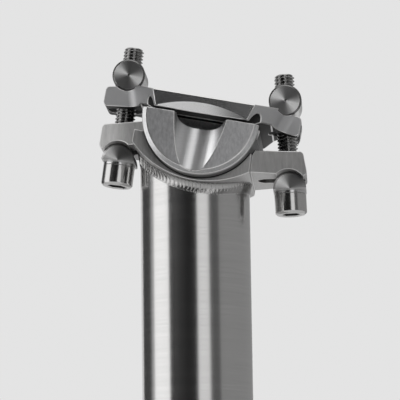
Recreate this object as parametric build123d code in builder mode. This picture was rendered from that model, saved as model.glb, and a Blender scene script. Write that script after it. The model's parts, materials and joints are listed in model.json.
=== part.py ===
from build123d import *
from math import atan2, cos, radians, sin
import os

# Two-bolt bicycle seatpost: welded tube and head, tilting rail clamp, bolts and barrel nuts.
# Origin at the centre of the tube's lower end, +Z up the tube, +X towards the front of the bicycle.

# Post tube
post_diameter = 31.6
post_wall = 1.4
post_length = 350.0            # lower end to the middle of the saddle rails
insertion_depth = 100.0        # ring that marks the least insertion in the frame
ring_width = 0.8
ring_depth = 0.25

# Saddle rails, and the tilt of the clamp, nose down from square to the tube
rail_diameter = 7.0
rail_spacing = 43.0
rail_clearance = 0.05
clamp_gap = 0.6                # parting gap between cradle and upper clamp
clamp_tilt = 11.0
clamp_forward = 3.5            # cradle axis in front of the tube axis

# Cradle, the half-round lower rail carrier
cradle_radius = 16.5
cradle_lip = 1.0               # wall outside each rail groove
cradle_chamfer_radial = 1.2
cradle_chamfer_axial = 1.0
scoop_radius = 8.5
scoop_depth_top = 4.6
scoop_depth_bottom = 0.5
pocket_length = 17.0
pocket_width = 24.0
pocket_depth = 9.0
pocket_corner = 3.0
socket_clearance = 0.1

# Head, the welded carrier: a trough for the cradle and an ear for each bolt
trough_side_reveal = 6.8       # cradle beyond each side of the trough
trough_wall = 0.8              # thinnest wall, under the cradle
trough_rear_margin = 0.05      # trough ends beyond the weld
trough_front_margin = 0.1
trough_rear_low = 5.5          # lower corners of the trough, below the cradle axis
trough_front_low = 15.2
trough_rear_top = 2.0          # upper corners of the trough, below the cradle axis
trough_front_top = 10.0
trough_end_lean = 0.7
ear_tip_width = 16.0
ear_root_width = 31.0
ear_overhang = 4.0             # ear beyond its bolt
ear_lean = 1.2
ear_thickness = 7.0
ear_over_seat = 3.1            # ear underside above the washer axis
ear_top_fall = 0.6             # ear root lower on top, and higher underneath, than its tip
ear_low_rise = 0.2
ear_corner = 1.2
slot_inboard = 9.0             # bolt slot in the ear, towards the tube and away from it
slot_outboard = 4.5

# Bolts, their washers and barrel nuts
bolt_diameter = 5.9
bolt_length = 35.2
bolt_head_diameter = 9.2
bolt_head_height = 6.0
bolt_head_chamfer = 0.6
bolt_tip_chamfer = 0.5
hex_across_flats = 5.0
hex_depth = 3.6
bolt_play = 0.35               # bolt in its slots, each side
washer_play = 0.25             # bolt in its washers, each side
thread_play = 0.15             # bolt in its nut, each side
thin_washer_thickness = 0.85
barrel_diameter = 9.5          # barrel nuts and half-round washers
barrel_length = 12.0
barrel_chamfer = 0.45
seat_clearance = 0.08
rear_standoff = 6.1            # half-round washer axes from the tube wall
front_standoff = 11.65
rear_seat_drop = 8.2           # rear washer axis below the cradle axis
front_seat_below = 1.15        # front washer axis below the cradle

# Upper clamp, in the tilted frame of the cradle
nut_spacing = 46.0
nut_height = 12.35             # nut axes over the cradle's flat top
nut_sink = 0.4                 # bar end's top above the nut's lowest line
bar_shift = -1.8               # middle of the nuts from the cradle axis
bar_width = 12.7
bar_overhang = 5.7             # bar beyond its nut
bar_droop = 1.6                # bar ends below its middle
bar_end_thickness = 5.9
bar_root_rise = 1.2            # bar underside higher at its root than at its ends
bar_corner = 1.4
rear_bend_inboard = 7.9        # where the droop begins, from the nuts
front_bend_inboard = 6.9
clamp_slot_length = 10.5
wing_length = 26.0             # under the wing's outer edge
web_length = 9.2               # each wing longer on the bar's middle line, at both ends
web_fillet = 3.5               # between web and bar
web_foot = 5.9                 # sloping underside of the webs, from the wing's end
web_lean = 18.0                # outward lean of the wing ends, degrees
wing_edge_height = 5.3
wing_lip = 1.4                 # wing outside each rail groove
wing_scoop_radius = 87.0
wing_scoop_depth = 1.1
wing_scoop_rise = 2.8

# Weld between tube and head
weld_leg = 2.2
weld_throat = 0.6              # bead thickness in front of and behind the tube
weld_side_throat = 2.4         # and under the overhanging sides of the head

os.makedirs("parts", exist_ok=True)

# Sizes that several pieces share
tilt = radians(clamp_tilt)
post_radius = post_diameter / 2
weld_radius = post_radius + weld_throat
bolt_radius = bolt_diameter / 2
barrel_radius = barrel_diameter / 2
slot_width = bolt_diameter + 2 * bolt_play
rail_radius = rail_diameter / 2 + rail_clearance
rail_offset = rail_spacing / 2
rail_places = [(-rail_offset, clamp_gap / 2), (rail_offset, clamp_gap / 2)]
cradle_half = rail_offset + rail_radius + cradle_lip
wing_half = rail_offset + rail_radius + wing_lip
trough_half = cradle_half - trough_side_reveal
socket_radius = cradle_radius + socket_clearance
seat_radius = barrel_radius + seat_clearance
far = post_length

# Planes through the cradle axis: the head's side view, the same turned with the clamp, the clamp's
# cross section (local x across the bicycle, local y up) and the cradle's flat top
axis_point = (clamp_forward, 0, post_length)
forwards = (cos(tilt), 0, -sin(tilt))
upwards = (sin(tilt), 0, cos(tilt))
side_plane = Plane(origin=axis_point, x_dir=(1, 0, 0), z_dir=(0, -1, 0))
clamp_plane = Plane(origin=axis_point, x_dir=forwards, z_dir=(0, -1, 0))
cross_plane = Plane(origin=axis_point, x_dir=(0, 1, 0), z_dir=forwards)
top_plane = Plane(origin=axis_point, x_dir=forwards, z_dir=upwards)


def clamp_point(along, height):
    """Side-view place of a point given in the tilted frame of the clamp."""
    return (along * cos(tilt) + height * sin(tilt), height * cos(tilt) - along * sin(tilt))


def bolt_plane(seat, nut):
    """Plane square to a bolt at its washer axis, its normal up the bolt and local x forwards."""
    lean = atan2(nut[0] - seat[0], nut[1] - seat[1])
    origin = side_plane.from_local_coords((seat[0], seat[1], 0))
    return Plane(origin=origin, x_dir=(cos(lean), 0, -sin(lean)), z_dir=(sin(lean), 0, cos(lean)))


# Each bolt set: its name, which way is outwards, its washer axis and its nut axis in the side view
rear_seat = (-clamp_forward - post_radius - rear_standoff, -rear_seat_drop)
front_seat = (post_radius - clamp_forward + front_standoff, -cradle_radius - front_seat_below)
rear_nut = clamp_point(bar_shift - nut_spacing / 2, nut_height)
front_nut = clamp_point(bar_shift + nut_spacing / 2, nut_height)
bolt_sets = [("rear", -1, rear_seat, rear_nut), ("front", 1, front_seat, front_nut)]

# The trough's curved underside: rear corner, lowest wall and front corner
rear_low = (-clamp_forward - weld_radius - trough_rear_margin, -trough_rear_low)
middle_low = (0, -socket_radius - trough_wall)
front_low = (weld_radius - clamp_forward + trough_front_margin, -trough_front_low)


# Post tube, its upper end coped to the underside of the head
with BuildPart() as post_tube:
    with BuildSketch(Plane.XY):
        Circle(post_radius)
        Circle(post_radius - post_wall, mode=Mode.SUBTRACT)
    extrude(amount=post_length)
    with BuildSketch(Plane.XY.offset(insertion_depth)):
        Circle(post_radius)
        Circle(post_radius - ring_depth, mode=Mode.SUBTRACT)
    extrude(amount=ring_width, mode=Mode.SUBTRACT)
    with BuildSketch(side_plane):
        with BuildLine():
            ThreePointArc(rear_low, middle_low, front_low)
            Polyline(front_low, (far, front_low[1]), (far, far), (-far, far), (-far, rear_low[1]), rear_low)
        make_face()
    extrude(amount=post_diameter, both=True, mode=Mode.SUBTRACT)
post_tube.part.label = "post_tube"
export_step(post_tube.part, "parts/post_tube.step")


# Weld bead, a ring that follows the coped joint
with BuildPart() as weld_bead:
    with BuildSketch(Plane.XY):
        Ellipse(weld_radius, post_radius + weld_side_throat)
        Circle(post_radius, mode=Mode.SUBTRACT)
    extrude(amount=post_length)
    with BuildSketch(side_plane):
        with BuildLine():
            rear_foot = (rear_low[0], rear_low[1] - weld_leg)
            middle_foot = (middle_low[0], middle_low[1] - weld_leg)
            front_foot = (front_low[0], front_low[1] - weld_leg)
            ThreePointArc(rear_low, middle_low, front_low)
            Line(front_low, front_foot)
            ThreePointArc(front_foot, middle_foot, rear_foot)
            Line(rear_foot, rear_low)
        make_face()
    extrude(amount=post_diameter, both=True, mode=Mode.INTERSECT)
weld_bead.part.label = "weld_bead"
export_step(weld_bead.part, "parts/weld_bead.step")


def head_ear(seat, outward):
    """One ear of the head, tapered in plan, before its seat and slot are cut."""
    tip = seat[0] + outward * ear_overhang
    root = seat[0] - outward * (slot_inboard + ear_overhang)
    low = seat[1] + ear_over_seat
    with BuildPart() as ear:
        with BuildSketch(side_plane) as outline:
            Polygon(
                (tip, low + ear_thickness),
                (tip + outward * ear_lean, low),
                (root, low + ear_low_rise),
                (root, low + ear_thickness - ear_top_fall),
                align=None,
            )
            fillet(outline.vertices().sort_by(Axis.X)[::outward][-2:], ear_corner)
        extrude(amount=ear_root_width, both=True)
        with BuildSketch(Plane.XY.offset(post_length)):
            tip_x = clamp_forward + tip + outward * ear_lean
            root_x = clamp_forward + root
            Polygon(
                (tip_x, -ear_tip_width / 2),
                (tip_x, ear_tip_width / 2),
                (root_x, ear_root_width / 2),
                (root_x, -ear_root_width / 2),
                align=None,
            )
        extrude(amount=far, both=True, mode=Mode.INTERSECT)
    return ear.part


# Head, machined in one piece: trough, ears, half-round washer seats and long bolt slots
ears = [head_ear(seat, outward) for _, outward, seat, _ in bolt_sets]
with BuildPart() as head:
    with BuildSketch(side_plane):
        with BuildLine():
            rear_top = (rear_low[0] + trough_end_lean, -trough_rear_top)
            front_top = (front_low[0] + trough_end_lean, -trough_front_top)
            ThreePointArc(rear_low, middle_low, front_low)
            Polyline(front_low, front_top, rear_top, rear_low)
        make_face()
    extrude(amount=trough_half, both=True)
    add(ears)
    with BuildSketch(side_plane):
        Circle(socket_radius)
    extrude(amount=cradle_half, both=True, mode=Mode.SUBTRACT)
    for _, outward, seat, nut in bolt_sets:
        with BuildSketch(bolt_plane(seat, nut)):
            with Locations((outward * (slot_outboard - slot_inboard) / 2, 0)):
                SlotOverall(slot_inboard + slot_outboard, slot_width)
        extrude(amount=2 * ear_thickness, mode=Mode.SUBTRACT)
        with BuildSketch(side_plane):
            with Locations(seat):
                Circle(seat_radius)
        extrude(amount=ear_root_width, both=True, mode=Mode.SUBTRACT)
head.part.label = "head"
export_step(head.part, "parts/head.step")


# Cradle, a half round with chamfered ends, rail grooves, a scoop in each end and a pocket on top
scoop_fall = cradle_radius - cradle_chamfer_radial
scoop_lean = atan2(scoop_depth_top - scoop_depth_bottom, scoop_fall)
scoop_reach = cradle_half - scoop_depth_top + scoop_radius / cos(scoop_lean)
with BuildPart() as cradle:
    with BuildSketch(cross_plane):
        with BuildLine():
            Polyline(
                (-cradle_half, 0),
                (-cradle_half, -scoop_fall),
                (-cradle_half + cradle_chamfer_axial, -cradle_radius),
                (cradle_half - cradle_chamfer_axial, -cradle_radius),
                (cradle_half, -scoop_fall),
                (cradle_half, 0),
                close=True,
            )
        make_face()
    revolve(axis=Axis(axis_point, (0, 1, 0)))
    split(bisect_by=top_plane, keep=Keep.BOTTOM)
    with BuildSketch(cross_plane):
        with Locations(rail_places):
            Circle(rail_radius)
    extrude(amount=cradle_radius, both=True, mode=Mode.SUBTRACT)
    for side in (-1, 1):
        scoop_origin = cross_plane.from_local_coords((side * scoop_reach, 0, 0))
        scoop_up = Vector(*upwards) * cos(scoop_lean) - Vector(0, side * sin(scoop_lean), 0)
        with BuildSketch(Plane(origin=scoop_origin, x_dir=forwards, z_dir=scoop_up)):
            Circle(scoop_radius)
        extrude(amount=2 * cradle_radius, both=True, mode=Mode.SUBTRACT)
    with BuildSketch(top_plane):
        RectangleRounded(pocket_length, pocket_width, pocket_corner)
    extrude(amount=-pocket_depth, mode=Mode.SUBTRACT)
cradle.part.label = "cradle"
export_step(cradle.part, "parts/cradle.step")


# Side view of the upper clamp, a bar with drooping ends for the barrel nuts
bar_end_top = nut_height - barrel_radius + nut_sink
bar_top = bar_end_top + bar_droop
bar_end_bottom = bar_end_top - bar_end_thickness
bar_root_bottom = bar_end_bottom + bar_root_rise
bar_reach = nut_spacing / 2 + bar_overhang
wing_end = wing_length / 2
with BuildSketch(clamp_plane) as bar:
    Polygon(
        (bar_shift - nut_spacing / 2 + rear_bend_inboard, bar_top),
        (bar_shift - bar_reach, bar_end_top),
        (bar_shift - bar_reach, bar_end_bottom),
        (-wing_end - web_foot, bar_root_bottom),
        (-wing_end, clamp_gap),
        (wing_end, clamp_gap),
        (wing_end + web_foot, bar_root_bottom),
        (bar_shift + bar_reach, bar_end_bottom),
        (bar_shift + bar_reach, bar_end_top),
        (bar_shift + nut_spacing / 2 - front_bend_inboard, bar_top),
        align=None,
    )
    fillet(bar.vertices().group_by(Axis.X)[0] + bar.vertices().group_by(Axis.X)[-1], bar_corner)


# Wings of the upper clamp, one over each rail, with sloping tops and webs that flare out to the bar
with BuildPart() as wings:
    with BuildSketch(cross_plane):
        Polygon(
            (-wing_half, clamp_gap),
            (-wing_half, wing_edge_height),
            (-bar_width / 2, bar_top),
            (bar_width / 2, bar_top),
            (wing_half, wing_edge_height),
            (wing_half, clamp_gap),
            align=None,
        )
    extrude(amount=wing_length, both=True)
    with BuildSketch(top_plane.offset(clamp_gap)):
        Polygon(
            (-wing_end, -wing_half),
            (-wing_end - web_length, 0),
            (-wing_end, wing_half),
            (wing_end, wing_half),
            (wing_end + web_length, 0),
            (wing_end, -wing_half),
            align=None,
        )
    extrude(amount=bar_top, taper=-web_lean, mode=Mode.INTERSECT)
    extrude(bar.sketch, amount=wing_half, both=True, mode=Mode.INTERSECT)


def joins_web(edge):
    """True for an edge where a web meets a side of the bar."""
    along, across, _ = top_plane.to_local_coords(edge.center())
    upright = abs((edge @ 1 - edge @ 0).normalized().dot(Vector(*upwards))) > 0.85
    inside = abs(along - bar_shift) < bar_reach - bar_corner
    return upright and inside and abs(abs(across) - bar_width / 2) < 0.01


# Upper clamp, the bar joined to its wings
wing_scoop_lean = atan2(wing_scoop_depth, wing_scoop_rise)
with BuildPart() as upper_clamp:
    extrude(bar.sketch, amount=bar_width / 2, both=True)
    add(wings.part)
    fillet(upper_clamp.edges().filter_by(joins_web), web_fillet)
    with BuildSketch(cross_plane):
        with Locations(rail_places):
            Circle(rail_radius)
    extrude(amount=wing_length, both=True, mode=Mode.SUBTRACT)
    for side in (-1, 1):
        reach = wing_half - wing_scoop_depth + wing_scoop_radius / cos(wing_scoop_lean)
        scoop_origin = cross_plane.from_local_coords((side * reach, clamp_gap, 0))
        scoop_up = Vector(*upwards) * cos(wing_scoop_lean) + Vector(0, side * sin(wing_scoop_lean), 0)
        with BuildSketch(Plane(origin=scoop_origin, x_dir=forwards, z_dir=scoop_up)):
            Circle(wing_scoop_radius)
        extrude(amount=2 * wing_scoop_radius, both=True, mode=Mode.SUBTRACT)
    for _, _, seat, nut in bolt_sets:
        with BuildSketch(bolt_plane(seat, nut)):
            SlotOverall(clamp_slot_length, slot_width)
        extrude(amount=bolt_length, mode=Mode.SUBTRACT)
        with BuildSketch(side_plane):
            with Locations(nut):
                Circle(seat_radius)
        extrude(amount=bar_width, both=True, mode=Mode.SUBTRACT)
upper_clamp.part.label = "upper_clamp"
export_step(upper_clamp.part, "parts/upper_clamp.step")


# Bolt sets, each with a bolt, a thin washer, a half-round washer and a barrel nut
for name, _, seat, nut in bolt_sets:
    up_bolt = bolt_plane(seat, nut)
    under_washer = up_bolt.offset(-thin_washer_thickness)
    across = Plane(origin=up_bolt.origin, x_dir=up_bolt.x_dir, z_dir=(0, -1, 0))

    with BuildPart() as bolt:
        with BuildSketch(under_washer):
            Circle(bolt_head_diameter / 2)
        extrude(amount=-bolt_head_height)
        chamfer(bolt.edges().sort_by(Axis(up_bolt.origin, up_bolt.z_dir))[0], bolt_head_chamfer)
        with BuildSketch(under_washer):
            Circle(bolt_radius)
        extrude(amount=bolt_length)
        chamfer(bolt.edges().sort_by(Axis(up_bolt.origin, up_bolt.z_dir))[-1], bolt_tip_chamfer)
        with BuildSketch(under_washer.offset(-bolt_head_height)):
            RegularPolygon(hex_across_flats / 2, 6, major_radius=False)
        extrude(amount=hex_depth, mode=Mode.SUBTRACT)
    bolt.part.label = f"{name}_bolt"
    export_step(bolt.part, f"parts/{name}_bolt.step")

    with BuildPart() as thin_washer:
        with BuildSketch(under_washer):
            Circle(bolt_head_diameter / 2)
            Circle(bolt_radius + washer_play, mode=Mode.SUBTRACT)
        extrude(amount=thin_washer_thickness)
    thin_washer.part.label = f"{name}_thin_washer"
    export_step(thin_washer.part, f"parts/{name}_thin_washer.step")

    with BuildPart() as half_washer:
        with BuildSketch(across):
            Circle(barrel_radius)
            Rectangle(barrel_diameter, barrel_radius, align=(Align.CENTER, Align.MAX), mode=Mode.SUBTRACT)
        extrude(amount=barrel_length / 2, both=True)
        with BuildSketch(up_bolt):
            Circle(bolt_radius + washer_play)
        extrude(amount=barrel_radius, mode=Mode.SUBTRACT)
    half_washer.part.label = f"{name}_half_round_washer"
    export_step(half_washer.part, f"parts/{name}_half_round_washer.step")

    with BuildPart() as barrel_nut:
        with BuildSketch(side_plane):
            with Locations(nut):
                Circle(barrel_radius)
        extrude(amount=barrel_length / 2, both=True)
        chamfer(barrel_nut.edges().filter_by(GeomType.CIRCLE), barrel_chamfer)
        with BuildSketch(up_bolt):
            Circle(bolt_radius + thread_play)
        extrude(amount=bolt_length, mode=Mode.SUBTRACT)
    barrel_nut.part.label = f"{name}_barrel_nut"
    export_step(barrel_nut.part, f"parts/{name}_barrel_nut.step")
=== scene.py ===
"""Looks of a welded bicycle seatpost with a tilting rail clamp held by two bolts."""
import json
import logging
import math
from dataclasses import dataclass, field, replace
from enum import Enum
from functools import reduce
from typing import ClassVar

import bmesh
import bpy
import numpy as np
from bpy.types import ID, Material, Mesh, MeshPolygon, Modifier, NodeInputs, NodeOutputs, NodeSocket, NodeTree, Object
from mathutils import Matrix, Vector


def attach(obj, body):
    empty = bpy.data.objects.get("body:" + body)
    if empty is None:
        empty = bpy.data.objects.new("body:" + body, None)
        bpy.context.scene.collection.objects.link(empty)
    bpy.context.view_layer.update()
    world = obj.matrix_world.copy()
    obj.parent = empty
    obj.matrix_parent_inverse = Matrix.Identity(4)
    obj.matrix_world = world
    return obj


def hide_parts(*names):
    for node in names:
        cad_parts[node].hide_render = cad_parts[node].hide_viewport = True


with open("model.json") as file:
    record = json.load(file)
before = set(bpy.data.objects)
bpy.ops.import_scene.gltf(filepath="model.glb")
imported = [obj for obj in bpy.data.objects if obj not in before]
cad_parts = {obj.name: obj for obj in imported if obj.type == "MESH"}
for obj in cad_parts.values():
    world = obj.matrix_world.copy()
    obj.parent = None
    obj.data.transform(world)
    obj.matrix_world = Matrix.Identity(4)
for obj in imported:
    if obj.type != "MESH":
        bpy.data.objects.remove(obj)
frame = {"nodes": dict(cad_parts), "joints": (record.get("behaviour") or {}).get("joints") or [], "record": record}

LOG = logging.getLogger("seatpost")
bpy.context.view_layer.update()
MM = 0.001
FULL_TURN = 2 * math.pi
WHITE = (1.0, 1.0, 1.0, 1.0)
TURNED_UV = "turned"
FLOAT, VECTOR, COLOUR = "NodeSocketFloat", "NodeSocketVector", "NodeSocketColor"
GEOMETRY, MATERIAL = "NodeSocketGeometry", "NodeSocketMaterial"
Feed = dict[str | int, object]


class End(Enum):
    """The two ends of the clamp, each with its own bolt set."""

    REAR = "rear"
    FRONT = "front"


class Pattern(Enum):
    """How a metal's fine marks run over it."""

    AROUND = "around the tube"
    UPRIGHT = "up and down"
    BLASTED = "no direction"
    TURNED = "rings on a turned face"


GLOSS_RUNS = {
    Pattern.AROUND: {"direction_type": "RADIAL", "axis": "Z"},
    Pattern.TURNED: {"direction_type": "UV_MAP", "uv_map": TURNED_UV},
}


class Zone(Enum):
    """The parts of a piece's surface that have a finish of their own."""

    MAIN = "the piece itself"
    EDGE = "worn edges"
    EAR = "rear ear of the head"
    SCOOP = "scoop milled in an end of the cradle"
    UNDERSIDE = "round underside of the cradle"
    RIM = "chamfered rim of the cradle"
    GROOVE = "rail groove and underside of the upper clamp"
    WING = "wing of the upper clamp"
    CRESCENT = "crescent cut under a wing"


def grid_mesh(name: str, points: np.ndarray, wrap: bool) -> Mesh:
    """Makes a closed skin over rows of points.

    Args:
        name: name of the mesh.
        points: array of rows, points in a row, and coordinates in metres.
        wrap: True where each row is a whole ring, False where it is a half ring with a flat side.

    Returns:
        The mesh, with its doubles merged and its faces turned outwards.
    """
    merge_gap, sliver = 1e-7, 1e-8
    rows, count = points.shape[:2]
    spans, swept = (count, 1.0) if wrap else (count - 1, 0.5)
    lengths = np.cumsum(np.r_[0.0, np.linalg.norm(np.diff(points[:, 0], axis=0), axis=1)])
    body = bmesh.new()
    uv = body.loops.layers.uv.new(TURNED_UV)
    verts = [[body.verts.new(p) for p in row] for row in points]
    for i in range(rows - 1):
        for j in range(spans):
            k = (j + 1) % count
            face = body.faces.new((verts[i][j], verts[i][k], verts[i + 1][k], verts[i + 1][j]))
            marks = ((j, i), (j + 1, i), (j + 1, i + 1), (j, i + 1))
            for loop, (around, along) in zip(face.loops, marks):
                loop[uv].uv = (around / spans * swept, lengths[along] / MM)
        if not wrap:
            body.faces.new((verts[i][0], verts[i + 1][0], verts[i + 1][-1], verts[i][-1]))
    bmesh.ops.remove_doubles(body, verts=body.verts, dist=merge_gap)
    bmesh.ops.dissolve_degenerate(body, edges=body.edges, dist=sliver)
    bmesh.ops.recalc_face_normals(body, faces=body.faces)
    mesh = bpy.data.meshes.new(name)
    body.to_mesh(mesh)
    body.free()
    return mesh


def turned_points(profile: list[tuple[float, float]], segments: int, sweep: float = FULL_TURN) -> np.ndarray:
    """Turns a profile about the Y axis.

    Args:
        profile: pairs of radius and place along Y, in millimetres.
        segments: how many steps the sweep has.
        sweep: the angle swept, in radians, starting at +X.

    Returns:
        Rows of points in metres.
    """
    whole = math.isclose(sweep, FULL_TURN)
    angles = np.linspace(0, sweep, segments + (0 if whole else 1), endpoint=not whole)
    rows = [[(r * math.cos(a), y, r * math.sin(a)) for a in angles] for r, y in profile]
    return np.array(rows) * MM


def shade(mesh: Mesh, sharp_deg: float = 28.0) -> None:
    """Shades a mesh smoothly, with edges over an angle kept sharp."""
    mesh.shade_smooth()
    mesh.set_sharp_from_angle(angle=math.radians(sharp_deg))


def points_mm(mesh: Mesh) -> np.ndarray:
    """Returns a mesh's points in millimetres, one row each."""
    return np.array([vertex.co for vertex in mesh.vertices]) / MM


def point_attribute(mesh: Mesh, name: str, values: np.ndarray) -> None:
    """Stores one number for each point of a mesh under a name."""
    layer = mesh.attributes.new(name, "FLOAT", "POINT")
    layer.data.foreach_set("value", np.asarray(values, np.float32).ravel())


def add_object(name: str, data: ID) -> Object:
    """Links a new object into the scene.

    Args:
        name: the object's name.
        data: its mesh, light or camera.

    Returns:
        The object.
    """
    made = bpy.data.objects.new(name, data)
    bpy.context.scene.collection.objects.link(made)
    return made


def dress(piece: Object, *materials: Material) -> None:
    """Gives a piece its materials, the first of them on every face.

    Args:
        piece: the piece.
        *materials: the materials, in the order of its slots.
    """
    piece.data.materials.clear()
    for material in materials:
        piece.data.materials.append(material)


def modify(piece: Object, kind: str, **settings: object) -> Modifier:
    """Adds a modifier to a piece.

    Args:
        piece: the piece.
        kind: Blender's type name of the modifier.
        **settings: properties of the modifier.

    Returns:
        The new modifier.
    """
    modifier = piece.modifiers.new(kind.lower(), kind)
    for key, value in settings.items():
        setattr(modifier, key, value)
    return modifier


def bake(piece: Object) -> None:
    """Turns a piece's modifiers into plain mesh and removes them.

    Args:
        piece: the piece.
    """
    graph = bpy.context.evaluated_depsgraph_get()
    result = bpy.data.meshes.new_from_object(piece.evaluated_get(graph))
    piece.modifiers.clear()
    old = piece.data
    piece.data = result
    result.name = piece.name
    bpy.data.meshes.remove(old)


class NodeSheet:
    """A node tree with short calls for the nodes that this file uses."""

    def __init__(self, tree: NodeTree) -> None:
        """Keeps the tree."""
        self.tree = tree

    def feed(self, sockets: NodeInputs, values: Feed) -> None:
        """Links or sets a node's inputs.

        Args:
            sockets: the node's inputs.
            values: for each input's name or number, the socket or the value that it gets.
        """
        for key, value in values.items():
            if isinstance(value, NodeSocket):
                self.tree.links.new(value, sockets[key])
            else:
                sockets[key].default_value = value

    def add(self, kind: str, inputs: Feed | None = None, **settings: object) -> NodeOutputs:
        """Adds a node.

        Args:
            kind: Blender's type name of the node.
            inputs: for each input's name or number, the socket or the value that it gets.
            **settings: properties of the node.

        Returns:
            The new node's outputs.
        """
        node = self.tree.nodes.new(kind)
        for key, value in settings.items():
            setattr(node, key, value)
        self.feed(node.inputs, inputs or {})
        return node.outputs

    def group(self, group: "NodeGroup", inputs: Feed) -> NodeOutputs:
        """Places a shader group with values of its own, and returns its outputs."""
        return self.add("ShaderNodeGroup", inputs, node_tree=group.tree)

    def math(self, operation: str, *values: object, clamp: bool = False) -> NodeSocket:
        """Adds a Math node.

        Args:
            operation: name of the Math operation.
            *values: sockets or numbers, in the node's order.
            clamp: True to keep the result between 0 and 1.

        Returns:
            The node's result.
        """
        return self.add("ShaderNodeMath", dict(enumerate(values)), operation=operation, use_clamp=clamp)[0]

    def plus(self, *values: object) -> NodeSocket:
        """Returns the sum of sockets and numbers."""
        return reduce(lambda one, other: self.math("ADD", one, other), values)

    def minus(self, one: object, other: object) -> NodeSocket:
        """Returns one socket or number less another."""
        return self.math("SUBTRACT", one, other)

    def times(self, *values: object) -> NodeSocket:
        """Returns the product of sockets and numbers."""
        return reduce(lambda one, other: self.math("MULTIPLY", one, other), values)

    def scaled(self, vector: NodeSocket, gain: NodeSocket) -> NodeSocket:
        """Returns a vector or a tone times a number."""
        return self.add("ShaderNodeVectorMath", {0: vector, "Scale": gain}, operation="SCALE")[0]

    def noise(self, inputs: Feed, dimensions: str = "3D") -> NodeSocket:
        """Returns noise between 0 and 1 with the given inputs."""
        return self.add("ShaderNodeTexNoise", inputs, noise_dimensions=dimensions)["Fac"]

    def attribute(self, name: str) -> NodeSocket:
        """Returns a number that the mesh keeps under a name, in a Geometry Nodes tree."""
        return self.add("GeometryNodeInputNamedAttribute", {"Name": name}, data_type="FLOAT")[0]

    def split(self, vector: NodeSocket) -> NodeOutputs:
        """Returns the three numbers of a vector."""
        return self.add("ShaderNodeSeparateXYZ", {0: vector})

    def place(self) -> NodeSocket:
        """Returns Object coordinates."""
        return self.add("ShaderNodeTexCoord")["Object"]

    def seen(self) -> NodeSocket:
        """Tells the rays that see a surface from those that only light something.

        Returns:
            1 where the camera, a reflection or a view through glass looks, and 0 for other light.
        """
        path = self.add("ShaderNodeLightPath")
        mirrored = self.math("MAXIMUM", path["Is Glossy Ray"], path["Is Transmission Ray"])
        return self.math("MAXIMUM", path["Is Camera Ray"], mirrored)

    def painted(self, geometry: NodeSocket, material: NodeSocket) -> NodeSocket:
        """Returns a Geometry Nodes tree's result with its instances made real and its material set."""
        real = self.add("GeometryNodeRealizeInstances", {0: geometry})[0]
        return self.add("GeometryNodeSetMaterial", {"Geometry": real, "Material": material})[0]


class NodeGroup(NodeSheet):
    """A node group that is built once, with named inputs and outputs.

    An input is given by the type of its socket, or by the number that it starts at.
    """

    title: ClassVar[str]
    kind: ClassVar[str] = "ShaderNodeTree"
    takes: ClassVar[dict[str, str | float]]
    gives: ClassVar[dict[str, str]]

    def __init__(self) -> None:
        """Makes the group's sockets and fills it."""
        super().__init__(bpy.data.node_groups.new(self.title, self.kind))
        for name, start in self.takes.items():
            kind = start if isinstance(start, str) else FLOAT
            socket = self.tree.interface.new_socket(name, in_out="INPUT", socket_type=kind)
            if kind is not start:
                socket.default_value = start
        for name, kind in self.gives.items():
            self.tree.interface.new_socket(name, in_out="OUTPUT", socket_type=kind)
        self.inside = self.add("NodeGroupInput")
        self.feed(self.tree.nodes.new("NodeGroupOutput").inputs, self._fill())

    def __getitem__(self, name: str) -> NodeSocket:
        """Returns one of the group's inputs."""
        return self.inside[name]

    def _fill(self) -> Feed:
        """Adds the group's own nodes.

        Returns:
            What each output gets, by name.
        """
        raise NotImplementedError


class MetalGrain(NodeGroup):
    """A shader group for the fine marks, tone and gloss changes that every metal here has."""

    title = "metal_grain"
    takes = {
        "Place": VECTOR, "Base Tone": COLOUR, "Tone Depth": FLOAT, "Base Roughness": FLOAT,
        "Roughness Depth": FLOAT, "Smudge Scale": FLOAT,
    }
    gives = {"Tone": COLOUR, "Roughness": FLOAT, "Height": FLOAT}
    fine_share: ClassVar[float] = 0.7
    smudge_share: ClassVar[float] = 0.3

    def _fill(self) -> Feed:
        """Mixes fine marks with broad smudges.

        Returns:
            What each output gets, by name.
        """
        fine = self.noise({"Vector": self["Place"], "Scale": 1.0, "Detail": 4.0, "Roughness": 0.65})
        smudge = self.noise({"Vector": self.place(), "Scale": self["Smudge Scale"], "Detail": 3.0})
        both = self.plus(self.times(fine, self.fine_share), self.times(smudge, self.smudge_share))
        swing = self.minus(both, 0.5)
        gain = self.plus(1.0, self.times(swing, self["Tone Depth"]))
        return {
            "Tone": self.scaled(self["Base Tone"], gain),
            "Roughness": self.plus(self["Base Roughness"], self.times(swing, self["Roughness Depth"])),
            "Height": fine,
        }


class PaintedShadeTone(NodeGroup):
    """A shader group that paints shade: it takes a share of the tone away where a mask is set."""

    title = "painted_shade_tone"
    takes = {"Tone": COLOUR, "Mask": FLOAT, "Share": FLOAT}
    gives = {"Tone": COLOUR}

    def _fill(self) -> Feed:
        """Lowers the tone by mask and share, and returns it."""
        gain = self.minus(1.0, self.times(self["Mask"], self["Share"]))
        return {"Tone": self.scaled(self["Tone"], gain)}


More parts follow.
